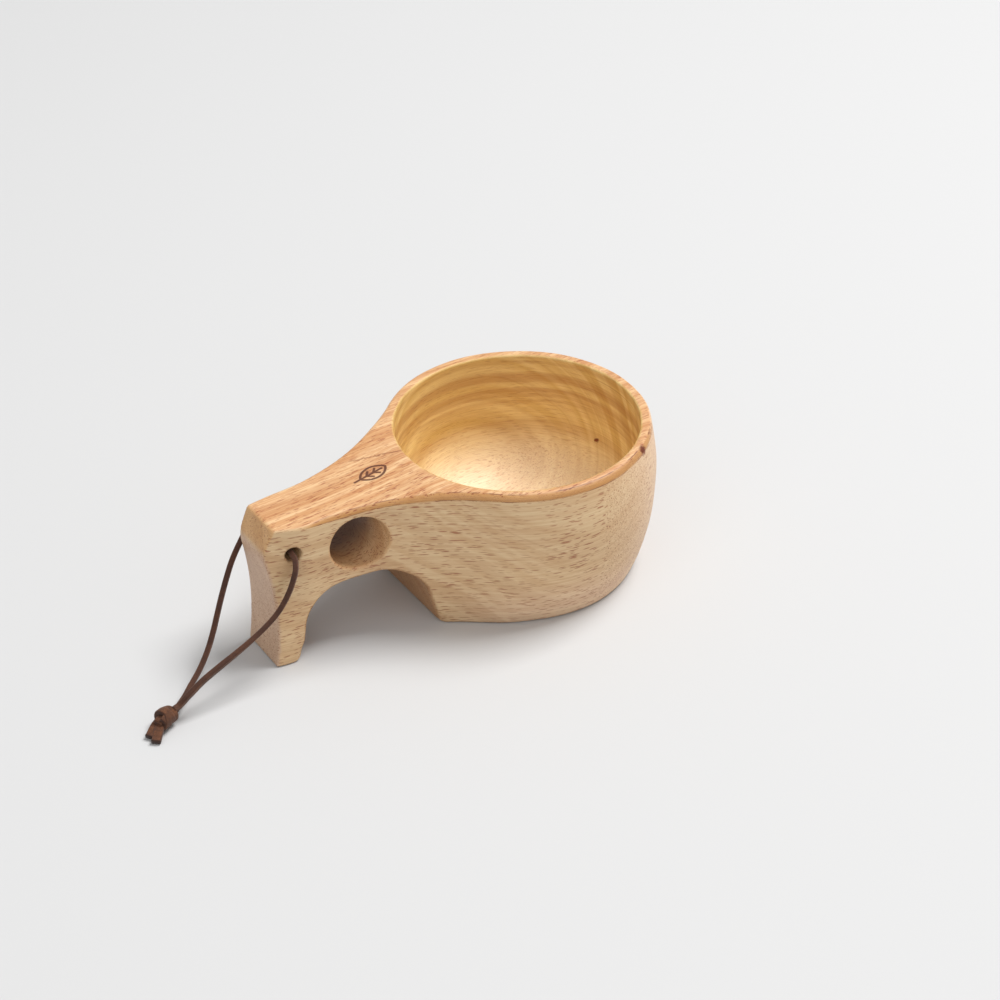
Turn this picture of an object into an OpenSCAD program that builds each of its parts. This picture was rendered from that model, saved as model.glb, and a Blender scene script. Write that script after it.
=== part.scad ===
// Carved wooden drinking cup with a pierced handle and a knotted leather thong.
// The origin is the middle of the round base. The handle points along -X, and the floor is z = 0.

/* [Bowl] */
// Inside diameter at the rim
rim_bore_d = 82; // [70:1:86]
// Thickness of the wall at the rim
rim_wall = 3.5; // [2.5:0.5:5]
// Height of the rim above the floor
rim_h = 53.5; // [51:0.5:66]
// How far the belly stands out past the rim, on the radius
belly_bulge = 2.1; // [1:0.1:3]
// Height of the widest part of the belly
belly_h = 34; // [28:1:38]
// Thickness of the wood under the bowl
floor_t = 8; // [5:0.5:12]
// Radius inside the bowl, where the wall turns into its floor
inner_corner_r = 26; // [12:1:32]

/* [Handle] */
// Distance from the middle of the bowl to the tip of the nose
handle_reach = 100; // [92:0.5:112]
// Width of the handle where it is held
grip_w = 22; // [18:0.5:23]
// Width of the handle at its nose
nose_w = 16.6; // [13:0.2:18]
// Radius of the hollow on each side, where the handle grows out of the bowl
neck_r = 80; // [66:1:96]
// How far the top of the handle dips below the rim
top_dip = 2.4; // [0.6:0.2:4]
// Length of the slanted facet at the end, seen from above
facet_l = 4.3; // [2:0.1:5]
// Height of the slanted facet
facet_h = 8.5; // [4:0.5:10]
// Depth of the hollow in the end face under the nose
end_hollow = 2.2; // [0.5:0.1:3]

/* [Arch and leg] */
// Height of the arch under the grip
arch_h = 26; // [18:0.5:27]
// Radius of the arch beside the leg
leg_arch_r = 14.6; // [10:0.2:16]
// Radius of the arch beside the bowl
bowl_arch_r = 15; // [10:0.2:16]
// Length of the leg's foot on the floor
foot_l = 8.7; // [6:0.1:10]
// Distance from the middle of the bowl to the flat back of its base
base_back = 42; // [40:0.5:44]

/* [Holes] */
// Diameter of the finger hole
finger_hole_d = 19.4; // [15:0.2:21]
// Distance from the nose to the middle of the finger hole
finger_hole_in = 31.4; // [28:0.2:36]
// Height of the middle of the finger hole
finger_hole_h = 38.6; // [36:0.2:40]
// Diameter of the thong's hole
thong_hole_d = 5.2; // [4.4:0.2:7]
// Distance from the nose to the middle of the thong's hole
thong_hole_in = 9.5; // [8:0.5:12]
// Height of the middle of the thong's hole
thong_hole_h = 41.5; // [38:0.5:44]

/* [Thong] */
// Width of the leather strap
thong_w = 3; // [2:0.1:3.2]
// Thickness of the leather strap
thong_t = 1.7; // [1.2:0.1:2.4]
// Diameter of the knot
knot_d = 6.8; // [6.6:0.2:9]
// Length of the knot
knot_l = 6; // [4:0.5:8]
// Length of the loose tail on the near side
near_tail_l = 5.5; // [3:0.5:14]
// Length of the loose tail on the far side
far_tail_l = 3.5; // [3:0.5:14]

/* [Hidden] */
$fn = 96;
cut = 1;            // how far a cutting shape runs past the wood
wood_colour = "burlywood";
leather_colour = "saddlebrown";

// Bowl: its outside is one arc, widest at belly_h
bore_r = rim_bore_d / 2;
rim_r = bore_r + rim_wall;
belly_r = rim_r + belly_bulge;
belly_arc_r = (pow(rim_h - belly_h, 2) + pow(belly_bulge, 2)) / (2 * belly_bulge);
bowl_depth = rim_h - floor_t;

// Handle in plan: a circle on each side hollows the neck and runs into the bowl's wall
neck_bite = 0.6;    // how far inside the bowl's outside the hollow would end
nose_x = -handle_reach;
neck_reach = rim_r - neck_bite + neck_r;
neck_y = grip_w / 2 + neck_r;
neck_x = -sqrt(pow(neck_reach, 2) - pow(neck_y, 2));
neck_end = [neck_x, neck_y] * (rim_r - neck_bite) / neck_reach;

grip_x = max(neck_x, nose_x + 2 * facet_l);     // the grip narrows from here to the nose

// Handle from the side: its top dips along one large arc, lowest just before the facet
facet_x = nose_x + facet_l;
facet_top_z = rim_h - top_dip;
facet_low_z = facet_top_z - facet_h;
dip_start_x = -bore_r - rim_wall / 2;
dip_low_x = facet_x + facet_l;
dip_arc_r = (pow(dip_start_x - dip_low_x, 2) + pow(top_dip, 2)) / (2 * top_dip);
end_arc_r = (pow(facet_low_z / 2, 2) + pow(end_hollow, 2)) / (2 * end_hollow);

// Arch: a circle beside the leg and one beside the bowl, under a roof that touches both
roof_drop = 2;      // the leg's circle stands this much lower than the bowl's
leg_lean = 2.2;     // the leg is this much thicker at the top of its circle than at the foot
bowl_lean = 4.6;    // and so is the bowl's side of the arch
foot_x = nose_x + foot_l;
arch_left = foot_x + leg_lean;
arch_right = -base_back - bowl_lean;
most_arch_r = 0.45 * (arch_right - arch_left);      // both circles fit beside each other
leg_side_r = min(leg_arch_r, most_arch_r);
bowl_side_r = min(bowl_arch_r, most_arch_r);
leg_arch_c = [arch_left + leg_side_r, arch_h - roof_drop - leg_side_r];
bowl_arch_c = [arch_right - bowl_side_r, arch_h - bowl_side_r];
arc_steps = 14;

// Holes through the handle
finger_hole_c = [nose_x + finger_hole_in, 0, finger_hole_h];
thong_hole_c = [nose_x + thong_hole_in, 0, thong_hole_h];

// Knot: it lies on the floor, with its axis turned from -X towards -Y
knot_turn = 20;
knot_c = [-142.4, -15.6, knot_d / 2];
knot_along = [-cos(knot_turn), -sin(knot_turn), 0];
knot_across = [sin(knot_turn), -cos(knot_turn), 0];
near_tail_turn = 60;
far_tail_turn = 14;
tail_gap = 0.1;     // half the space between the tails where they leave the knot

// The thong's legs as tubes: each starts in the middle of its hole and ends on the knot's face
tube_d = (thong_w + thong_t) / 2;
tube_sides = 8;
leg_straight = 2;   // each leg's last stretch runs along the knot's axis
near_mouth = [1, 1.5];
far_mouth = [-0.8, -1.1];
near_route = [
    [-90.5, 0, 41.5], [-90.5, -4, 41.5], [-90.5, -8, 41.3], [-90.7, -10.8, 40.3],
    [-91.6, -12.6, 38], [-93.2, -13.3, 34.4], [-95.8, -13.4, 29.4], [-99.5, -13.5, 24.8],
    [-104.5, -13.7, 21.2], [-110, -14, 18.4], [-116, -14.4, 16], [-122, -14.7, 13.7],
    [-128, -15, 11.2], [-133, -15.2, 8.2]];
far_route = [
    [-90.5, 0, 41.5], [-90.5, 4, 41.5], [-90.5, 8, 41.4], [-91, 11, 41],
    [-92.8, 12.9, 40], [-95.8, 13.2, 38.4], [-99, 12, 35.8], [-103, 9.9, 32.2],
    [-106.6, 7.6, 28], [-109.6, 5.8, 23.6], [-112.6, 3.8, 19], [-116, 1.4, 14],
    [-119.6, -1, 9.8], [-124, -3.9, 6.6], [-129.4, -7.4, 4.4], [-134, -10.6, 3]];

function unit(v) = v / norm(v);

// The angle at which the line that touches both circles stands off them, on the left (side 1)
// or on the right (side -1) of the way from one to two
function touch(one, one_r, two, two_r, side) =
    let (way = two - one)
    atan2(way.y, way.x) + side * acos((one_r - two_r) / norm(way));

function arc(centre, r, from, to) =
    [for (i = [0:arc_steps]) let (a = from + (to - from) * i / arc_steps) centre + r * [cos(a), sin(a)]];

// A point on the knot's face towards the cup, or out from it along the axis
function knot_mouth(mouth, out = 0) =
    knot_c - knot_along * (knot_l / 2 + out) + knot_across * mouth.x + [0, 0, mouth.y];

function leg_path(route, mouth) = concat(route, [knot_mouth(mouth, leg_straight), knot_mouth(mouth)]);

function tangents(path) =
    let (last = len(path) - 1)
    [for (i = [0:last]) unit(path[min(i + 1, last)] - path[max(i - 1, 0)])];

// A side direction square to a tangent, as near as it can be to the one before it
function squared(side, tangent) = unit(side - (side * tangent) * tangent);

function sides_along(along) =
    [for (i = 0, side = squared([0, 0, 1], along[0]); i < len(along);
          i = i + 1, side = i < len(along) ? squared(side, along[i]) : side) side];

module bowl_outside() {
    rotate_extrude()
        intersection() {
            translate([belly_r - belly_arc_r, belly_h]) circle(r = belly_arc_r);
            square([belly_r + cut, rim_h]);
        }
}

module bowl_inside() {
    corner_x = bore_r - inner_corner_r;
    translate([0, 0, floor_t])
        rotate_extrude()
            difference() {
                square([bore_r, bowl_depth + cut]);
                difference() {
                    translate([corner_x, -cut]) square(inner_corner_r + cut);
                    translate([corner_x, inner_corner_r]) circle(r = inner_corner_r);
                }
            }
}

module handle_plan() {
    difference() {
        polygon([
            [nose_x, nose_w / 2], [grip_x, grip_w / 2], [grip_x, neck_end.y], neck_end,
            [neck_end.x, -neck_end.y], [grip_x, -neck_end.y], [grip_x, -grip_w / 2], [nose_x, -nose_w / 2]]);
        for (side = [-1, 1])
            translate([neck_x, side * neck_y]) circle(r = neck_r, $fn = 240);
    }
}

module handle_side() {
    difference() {
        polygon([[nose_x, 0], [nose_x, facet_low_z], [facet_x, facet_top_z], [dip_start_x, rim_h],
                 [neck_end.x, rim_h], [neck_end.x, 0]]);
        translate([dip_low_x, facet_top_z + dip_arc_r]) circle(r = dip_arc_r, $fn = 720);
        translate([nose_x + end_hollow - end_arc_r, facet_low_z / 2]) circle(r = end_arc_r, $fn = 240);
    }
}

// The neck's sides lean in under the belly as the bowl's wall does
module neck_lean(side) {
    translate([neck_x, side * neck_y])
        rotate_extrude()
            difference() {
                square([neck_reach - bore_r, belly_h]);
                translate([neck_reach + neck_bite - belly_r + belly_arc_r, belly_h]) circle(r = belly_arc_r);
            }
}

module handle() {
    difference() {
        intersection() {
            linear_extrude(rim_h) handle_plan();
            rotate([90, 0, 0]) linear_extrude(2 * rim_r, center = true) handle_side();
        }
        intersection() {
            for (side = [-1, 1]) neck_lean(side);
            translate([neck_x, -rim_r, -cut]) cube([neck_end.x - neck_x + cut, 2 * rim_r, belly_h]);
        }
    }
}

// The arch from the side: up the leg's lean, round both arcs and down the bowl's lean
module arch_side() {
    roof = touch(leg_arch_c, leg_side_r, bowl_arch_c, bowl_side_r, 1);
    leg_face = 360 + touch(leg_arch_c, leg_side_r, [foot_x, 0], 0, -1);
    bowl_face = touch(bowl_arch_c, bowl_side_r, [-base_back, 0], 0, 1);
    polygon(concat(
        [[foot_x, -cut], [foot_x, 0]],
        arc(leg_arch_c, leg_side_r, leg_face, roof),
        arc(bowl_arch_c, bowl_side_r, roof, bowl_face),
        [[-base_back, 0], [-base_back, -cut]]));
}

module across_handle(length) {
    rotate([90, 0, 0]) linear_extrude(length, center = true) children();
}

module hole(centre, d) {
    translate(centre) rotate([90, 0, 0]) cylinder(d = d, h = 2 * rim_r, center = true);
}

module wooden_cup() {
    color(wood_colour)
        difference() {
            union() {
                bowl_outside();
                handle();
            }
            bowl_inside();
            across_handle(2 * (belly_r + cut)) arch_side();
            hole(finger_hole_c, finger_hole_d);
            hole(thong_hole_c, thong_hole_d);
        }
}

// A tube of flat sides along a path, with each ring square to the path
module tube(path) {
    along = tangents(path);
    sides = sides_along(along);
    rings = [for (i = [0:len(path) - 1]) for (k = [0:tube_sides - 1])
        let (a = 360 * (k + 0.5) / tube_sides, across = cross(along[i], sides[i]))
        path[i] + tube_d / 2 * (cos(a) * sides[i] + sin(a) * across)];
    last = (len(path) - 1) * tube_sides;
    walls = [for (i = [0:len(path) - 2]) for (k = [0:tube_sides - 1])
        let (here = i * tube_sides, next = (k + 1) % tube_sides)
        [here + k, here + tube_sides + k, here + tube_sides + next, here + next]];
    near_end = [for (k = [0:tube_sides - 1]) k];
    far_end = [for (k = [tube_sides - 1:-1:0]) last + k];
    polyhedron(rings, concat([near_end], walls, [far_end]));
}

module thong_near_leg() {
    color(leather_colour) tube(leg_path(near_route, near_mouth));
}

module thong_far_leg() {
    color(leather_colour) tube(leg_path(far_route, far_mouth));
}

module thong_knot() {
    color(leather_colour)
        translate(knot_c) rotate([0, 90, knot_turn]) cylinder(d = knot_d, h = knot_l, center = true);
}

// A flat tail on the floor, cut square at its end and to the knot's face at its start
module tail(first, second, turn, length) {
    way = [-cos(turn), -sin(turn)] * length;
    start = knot_c + knot_along * knot_l / 2;
    one = [start.x, start.y] + first * [knot_across.x, knot_across.y];
    two = [start.x, start.y] + second * [knot_across.x, knot_across.y];
    color(leather_colour) linear_extrude(thong_t) polygon([one, two, two + way, one + way]);
}

module thong_near_tail() {
    tail(tail_gap, tail_gap + thong_w, near_tail_turn, near_tail_l);
}

module thong_far_tail() {
    tail(-tail_gap, -tail_gap - thong_w, far_tail_turn, far_tail_l);
}

wooden_cup();
thong_near_leg();
thong_far_leg();
thong_knot();
thong_near_tail();
thong_far_tail();
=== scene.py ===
# %% [markdown]
# # A carved wooden cup with a leather thong
# A cup of this kind is cut from one block of pale hardwood. The bowl, the handle and the leg that the
# handle ends in are one piece, and the only other piece is a flat leather strap, knotted through a small
# hole. The frame comes first: it holds the cup's sizes and the strap's place, and every piece here rides
# on it.

# %% Load the frame and note its box
import math

import bpy
import numpy as np
from mathutils import Matrix, Vector


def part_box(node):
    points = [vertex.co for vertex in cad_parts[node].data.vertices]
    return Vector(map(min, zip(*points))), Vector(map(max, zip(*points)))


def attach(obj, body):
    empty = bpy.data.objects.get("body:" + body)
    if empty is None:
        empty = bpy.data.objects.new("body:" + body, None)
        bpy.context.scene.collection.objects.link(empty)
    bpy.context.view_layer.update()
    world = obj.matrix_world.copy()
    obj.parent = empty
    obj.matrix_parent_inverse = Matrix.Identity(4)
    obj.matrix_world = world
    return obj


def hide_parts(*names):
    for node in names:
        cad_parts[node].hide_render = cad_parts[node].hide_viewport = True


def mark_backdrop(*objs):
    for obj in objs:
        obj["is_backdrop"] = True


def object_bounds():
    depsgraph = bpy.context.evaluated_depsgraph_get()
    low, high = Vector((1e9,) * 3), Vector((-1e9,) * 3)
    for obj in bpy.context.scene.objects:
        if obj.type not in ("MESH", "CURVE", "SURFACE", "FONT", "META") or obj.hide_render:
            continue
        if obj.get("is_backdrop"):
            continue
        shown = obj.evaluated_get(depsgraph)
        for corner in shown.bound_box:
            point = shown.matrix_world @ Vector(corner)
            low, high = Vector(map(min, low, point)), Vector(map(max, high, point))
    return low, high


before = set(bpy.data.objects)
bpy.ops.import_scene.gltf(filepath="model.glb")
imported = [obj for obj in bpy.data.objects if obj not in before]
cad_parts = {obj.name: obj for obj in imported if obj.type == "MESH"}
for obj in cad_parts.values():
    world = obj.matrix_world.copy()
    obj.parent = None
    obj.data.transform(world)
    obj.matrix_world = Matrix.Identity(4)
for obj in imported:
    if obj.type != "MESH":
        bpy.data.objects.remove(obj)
cad_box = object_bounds()
MM = 0.001
cup_low, cup_high = (np.array(corner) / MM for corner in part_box("wooden_cup"))
print("cup, mm:", np.round(cup_low, 1), np.round(cup_high, 1))

# %% [markdown]
# ## The camera
# The cup is seen from above and from the side of its handle, with a fairly long lens, so the bowl's rim is
# an even ellipse. The camera looks at a point inside the cup from a given direction and distance. It could
# be turned with Euler angles, but building its three axes as vectors keeps the direction easy to read.

# %% Camera
CAMERA_AZIMUTH = math.radians(-32.53)
CAMERA_ELEVATION = math.radians(35.17)
CAMERA_ROLL = math.radians(-1.04)
CAMERA_DISTANCE = 0.7033
CAMERA_AIM = Vector((-0.00726, 0.0, 0.0236))
CAMERA_LENS = 74.66


def camera_axes(azimuth, elevation, roll):
    """A camera's right, up and back. Back points from the aim to the camera."""
    back = Vector((math.sin(azimuth) * math.cos(elevation),
                   -math.cos(azimuth) * math.cos(elevation),
                   math.sin(elevation)))
    level = Vector((math.cos(azimuth), math.sin(azimuth), 0))
    upright = back.cross(level)
    right = level * math.cos(roll) + upright * math.sin(roll)
    return right, back.cross(right), back


right, up, back = camera_axes(CAMERA_AZIMUTH, CAMERA_ELEVATION, CAMERA_ROLL)
camera = bpy.data.objects.new("camera", bpy.data.cameras.new("camera"))
camera.data.lens = CAMERA_LENS
camera.data.clip_start, camera.data.clip_end = 0.05, 10
turn = Matrix((right, up, back)).transposed().to_4x4()
camera.matrix_world = Matrix.Translation(CAMERA_AIM + back * CAMERA_DISTANCE) @ turn
bpy.context.scene.collection.objects.link(camera)
bpy.context.scene.camera = camera
print("camera at", [round(x, 3) for x in camera.location])

# %% [markdown]
# ## The strap's route
# The thong is one flat strap of oiled leather. It comes straight out of the hole on each side of the
# handle, bends down under its own weight and runs to the knot, which lies on the table. The frame holds
# its route as a few round points. Here a smooth curve goes through them, so that the strap has no corners.

# %% Route points, in metres
near_route = MM * np.array([
    (-90.5, 0, 41.5), (-90.5, -4, 41.5), (-90.5, -8, 41.3), (-90.7, -10.8, 40.3),
    (-91.6, -12.6, 38), (-93.2, -13.3, 34.4), (-95.8, -13.4, 29.4), (-99.5, -13.5, 24.8),
    (-104.5, -13.7, 21.2), (-110, -14, 18.4), (-116, -14.4, 16), (-122, -14.7, 13.7),
    (-128, -15, 11.2), (-133, -15.2, 8.2)])
far_route = MM * np.array([
    (-90.5, 0, 41.5), (-90.5, 4, 41.5), (-90.5, 8, 41.4), (-91, 11, 41),
    (-92.8, 12.9, 40), (-95.8, 13.2, 38.4), (-99, 12, 35.8), (-103, 9.9, 32.2),
    (-106.6, 7.6, 28), (-109.6, 5.8, 23.6), (-112.6, 3.8, 19), (-116, 1.4, 14),
    (-119.6, -1, 9.8), (-124, -3.9, 6.6), (-129.4, -7.4, 4.4), (-134, -10.6, 3)])
knot_low, knot_high = (np.array(corner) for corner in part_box("thong_knot"))
knot_centre = (knot_low + knot_high) / 2
KNOT_TURN = math.radians(20)
KNOT_LENGTH = 6 * MM
knot_along = np.array([-math.cos(KNOT_TURN), -math.sin(KNOT_TURN), 0])
knot_across = np.array([math.sin(KNOT_TURN), -math.cos(KNOT_TURN), 0])
print("knot, mm:", np.round(knot_centre / MM, 2))


def knot_mouth(across, up, out=0.0):
    """A point on the knot's face towards the cup, so far across, up and out from the face's middle."""
    return knot_centre - knot_along * (KNOT_LENGTH / 2 + out) + knot_across * across + np.array([0, 0, up])


LEG_STRAIGHT = 2 * MM
near_mouth, far_mouth = (1.0 * MM, 1.5 * MM), (-0.8 * MM, -1.1 * MM)
near_route = np.vstack([near_route, knot_mouth(*near_mouth, LEG_STRAIGHT), knot_mouth(*near_mouth)])
far_route = np.vstack([far_route, knot_mouth(*far_mouth, LEG_STRAIGHT), knot_mouth(*far_mouth)])

# %% A smooth curve through points
def unit(v):
    """Each row of v, divided by its length."""
    return v / np.linalg.norm(v, axis=-1, keepdims=True)


def smooth_path(points, count):
    """A cubic through every point, with each slope set by the points on either side, at count even steps.

    Between points p1 and p2 the curve is the Hermite cubic whose end slopes are (p2 - p0) / (s2 - s0) and
    (p3 - p1) / (s3 - s1), where s is the distance walked along the straight lines between the points.
    """
    step = np.linalg.norm(np.diff(points, axis=0), axis=1)
    walked = np.concatenate([[0], np.cumsum(step)])
    slope = np.gradient(points, walked, axis=0)
    s = np.linspace(0, walked[-1], count * 8)
    i = np.clip(np.searchsorted(walked, s, side="right") - 1, 0, len(step) - 1)
    h = step[i][:, None]
    t = ((s - walked[i]) / step[i])[:, None]
    fine = ((1 + 2 * t) * (1 - t) ** 2 * points[i] + t * (1 - t) ** 2 * h * slope[i]
            + t ** 2 * (3 - 2 * t) * points[i + 1] + t ** 2 * (t - 1) * h * slope[i + 1])
    length = np.concatenate([[0], np.cumsum(np.linalg.norm(np.diff(fine, axis=0), axis=1))])
    even = np.linspace(0, length[-1], count)
    return np.stack([np.interp(even, length, fine[:, k]) for k in range(3)], axis=1)


def path_length(path):
    return float(np.linalg.norm(np.diff(path, axis=0), axis=1).sum())


near_path = smooth_path(near_route, 150)
far_path = smooth_path(far_route, 160)
print("legs, mm:", round(path_length(near_path) / MM, 1), round(path_length(far_path) / MM, 1))

# %% [markdown]
# ## The strap as a surface
# A strap is a profile carried along a path. The profile is a rectangle with round corners, 3 mm by 1.7 mm,
# and at each point of the path it needs two directions: across the strap and out of its face. A round cord
# could use any pair, but a flat strap shows how it is turned, so the direction across is given along the
# path.

# %% Carry the strap's profile along a path
STRAP_WIDTH, STRAP_THICKNESS, STRAP_CORNER = 3.0 * MM, 1.7 * MM, 0.5 * MM


def strap_profile(width, thickness, corner, arc_points=5):
    """A closed rectangle with round corners: four quarter circles, one about each inner corner."""
    quarter = np.linspace(0, math.pi / 2, arc_points)
    angle = (quarter[None, :] + math.pi / 2 * np.arange(4)[:, None]).ravel()
    side = np.repeat(np.array([(1, 1), (-1, 1), (-1, -1), (1, -1)]), arc_points, axis=0)
    inner = side * (np.array([width, thickness]) / 2 - corner)
    return inner + corner * np.stack([np.cos(angle), np.sin(angle)], axis=1)


def add_mesh(name, points, faces):
    """A new smooth mesh object at the origin, from a list of points and faces."""
    mesh = bpy.data.meshes.new(name)
    mesh.from_pydata(points.tolist(), [], faces)
    mesh.polygons.foreach_set("use_smooth", np.full(len(mesh.polygons), True))
    mesh.update()
    piece = bpy.data.objects.new(name, mesh)
    bpy.context.scene.collection.objects.link(piece)
    return piece


def grid_faces(rows, columns, closed_rows=False):
    """The quads of a grid of points whose columns close into a ring, and whose rows may close too."""
    row = np.arange(rows if closed_rows else rows - 1)[:, None]
    column = np.arange(columns)[None, :]
    next_row, next_column = (row + 1) % rows, (column + 1) % columns
    quads = np.stack([row * columns + column, next_row * columns + column,
                      next_row * columns + next_column, row * columns + next_column], axis=-1)
    return quads.reshape(-1, 4)[:, ::-1].tolist()


def strap_points(path, across, profile, closed=False):
    """Point (i, k) is path[i] + profile[k].x * across[i] + profile[k].y * out[i].

    out is the tangent's cross product with across, so the profile turns with the path.
    """
    tangent = (np.roll(path, -1, axis=0) - np.roll(path, 1, axis=0)) if closed else np.gradient(path, axis=0)
    tangent = unit(tangent)
    across = unit(across - (across * tangent).sum(axis=1, keepdims=True) * tangent)
    out = np.cross(tangent, across)
    return path[:, None] + profile[None, :, :1] * across[:, None] + profile[None, :, 1:] * out[:, None]


def add_values(piece, name, values):
    """A number for each point of the mesh, which a material can read by name."""
    layer = piece.data.attributes.new(name, "FLOAT", "POINT")
    layer.data.foreach_set("value", np.ascontiguousarray(values, dtype=np.float32).ravel())


def add_strap(name, path, across, closed=False, width=STRAP_WIDTH, thickness=STRAP_THICKNESS, cut=0.0):
    """A strap along a path. An open one ends in two flat faces.

    Its points carry two numbers. edge is how near a point is to the strap's narrow sides, from 0 in the
    middle of its face to 1. cut is as given at the two ends and falls to 0 in half a millimetre.
    """
    profile = strap_profile(width, thickness, min(STRAP_CORNER, thickness / 3))
    points = strap_points(path, across, profile, closed)
    rows, columns = points.shape[:2]
    faces = grid_faces(rows, columns, closed)
    if not closed:
        faces += [list(range(columns))[::-1], list(range((rows - 1) * columns, rows * columns))]
    piece = add_mesh(name, points.reshape(-1, 3), faces)
    walked = np.concatenate([[0], np.cumsum(np.linalg.norm(np.diff(path, axis=0), axis=1))])
    to_end = np.minimum(walked, walked[-1] - walked)
    add_values(piece, "edge", np.tile(np.abs(profile[:, 0]) / (width / 2), rows))
    add_values(piece, "cut", np.repeat(cut * (1 - smoothstep(to_end, 0, 0.5 * MM)), columns))
    return piece


def smoothstep(x, low, high):
    """0 before low and 1 after high, with a smooth rise 3t^2 - 2t^3 between."""
    t = np.clip((x - low) / (high - low), 0, 1)
    return t * t * (3 - 2 * t)


def leg_across(path, start, turn_from, turn_to, twist):
    """The strap's direction across: start in the hole, and a share twist nearer to level at the end."""
    along = np.linspace(0, 1, len(path))
    level = unit(np.cross(unit(np.gradient(path, axis=0)), (0, 0, 1)) + np.array([1e-9, 0, 0]))
    share = twist * smoothstep(along, turn_from, turn_to)[:, None]
    return start * (1 - share) + level * share


EDGE_ON = np.array([-0.45, -0.7, 0.56])


near_leg = add_strap("near_leg", near_path, leg_across(near_path, EDGE_ON, turn_from=0.45,
                                                      turn_to=0.75, twist=0.22))
far_leg = add_strap("far_leg", far_path, leg_across(far_path, -EDGE_ON, turn_from=0.8,
                                                   turn_to=1.0, twist=0.2))

# %% [markdown]
# ## The knot and the two tails
# The legs end in an overhand knot, tied in both at once. Seen close to, such a knot is a bundle of the two
# straps with a band wound slantwise round it, and a loop that crosses the band. Tying it in a simulation
# would take long and be hard to steer, so each turn is one strap along its own ring, pulled tight on the
# bundle.

# %% Knot
def knot_frame(points):
    """Points given as (along, across, up) in the knot's own axes, in mm, placed in the cup's frame."""
    return knot_centre + MM * (points[:, :1] * knot_along + points[:, 1:2] * knot_across
                               + points[:, 2:] * np.array([0, 0, 1.0]))


def wound_band(turns, start, pitch, radius, swell, count=120):
    """A strap wound round the knot's axis.

    At share t of the way its angle is start + 360 * turns * t, it has moved pitch * (t - 0.5) along the
    axis, and it stands radius + swell * sin(pi t) from it, so that its two ends tuck in under the middle.
    """
    t = np.linspace(0, 1, count)
    angle = np.radians(start + 360 * turns * t)
    stand = radius + swell * np.sin(math.pi * t)
    path = np.stack([pitch * (t - 0.5), stand * np.cos(angle), stand * 0.94 * np.sin(angle)], axis=1)
    outwards = np.stack([np.zeros(count), np.cos(angle), np.sin(angle)], axis=1)
    across = np.cross(np.gradient(path, axis=0), outwards)
    return knot_frame(path), knot_frame(across) - knot_centre


def slanted_loop(radius, tilt, lean, shift, count=90):
    """A closed ring round the knot's axis, tilted so that it crosses the band."""
    angle = np.linspace(0, 2 * math.pi, count, endpoint=False)
    along = shift + tilt * np.cos(angle + lean)
    path = np.stack([along, radius * np.cos(angle), radius * 0.94 * np.sin(angle)], axis=1)
    outwards = np.stack([np.zeros(count), np.cos(angle), np.sin(angle)], axis=1)
    tangent = np.roll(path, -1, axis=0) - np.roll(path, 1, axis=0)
    across = np.cross(tangent, outwards)
    return knot_frame(path), knot_frame(across) - knot_centre


band = wound_band(turns=1.35, start=-60, pitch=2.6, radius=1.9, swell=0.75)
loop = slanted_loop(radius=2.35, tilt=1.5, lean=0.9, shift=0.2)
collar = slanted_loop(radius=2.1, tilt=0.5, lean=2.4, shift=-2.2)
knot_parts = [add_strap("knot_band", *band, width=2.6 * MM),
              add_strap("knot_loop", *loop, closed=True, width=2.4 * MM),
              add_strap("knot_collar", *collar, closed=True, width=1.9 * MM),
              add_strap("knot_bundle", knot_frame(np.array([(-3.0, 0.3, 0.5), (-1, 0.1, 0.1), (1, 0, -0.2),
                                                            (3.0, 0.2, -0.6)])),
                        np.tile(knot_across, (4, 1)), width=3.4 * MM, thickness=3.0 * MM)]
bpy.ops.object.select_all(action="DESELECT")
for part in knot_parts:
    part.select_set(True)
bpy.context.view_layer.objects.active = knot_parts[0]
bpy.ops.object.join()
knot = knot_parts[0]
knot.name = "knot"

# %% Tails
STRAP_REST = STRAP_THICKNESS / 2 / MM + 0.05


def tail_path(turn, length, side, count=40):
    """A tail's middle line: out of the knot, sinking to lie flat, turned by so much from the cup's -X."""
    heading = np.array([-math.cos(math.radians(turn)), -math.sin(math.radians(turn)), 0])
    face = knot_centre + knot_along * KNOT_LENGTH / 2 + knot_across * side * MM
    high = knot_centre[2] / MM
    points = [face - knot_along * 2.5 * MM, face - knot_along * 0.8 * MM, face + heading * length * 0.4 * MM,
              face + heading * length * 0.75 * MM, face + heading * length * MM]
    for point, z in zip(points, (high - 0.6, high - 0.9, 1.7, STRAP_REST + 0.15, STRAP_REST)):
        point[2] = z * MM
    return smooth_path(np.array(points), count)


def add_tail(name, turn, length, side):
    path = tail_path(turn, length, side)
    return add_strap(name, path, np.cross(np.gradient(path, axis=0), (0, 0, 1.0)), cut=1.0)


near_tail = add_tail("near_tail", 50, 5.4, 0.8)
far_tail = add_tail("far_tail", 36, 4.4, -0.9)
for piece, node_name in ((near_leg, "thong_near_leg"), (far_leg, "thong_far_leg"), (knot, "thong_knot"),
                         (near_tail, "thong_near_tail"), (far_tail, "thong_far_tail")):
    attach(piece, "thong")
    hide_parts(node_name)
    corners = np.array(piece.bound_box) / MM
    print(piece.name, "mm:", np.round(corners.min(0), 1), np.round(corners.max(0), 1))

# %% [markdown]
# ## The cup as a distance field
# The bowl, neck, handle and leg run into each other without a seam, and every edge is rounded a little by
# hand. Subdivision modelling could give this shape, but the holes and the arch would each need edge loops
# of their own. Here the whole shape is one function: how far a point is outside the wood, negative inside.
# Cutting one shape with another is then a larger of two numbers, and a small change to that rounds the
# edge between them.

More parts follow.
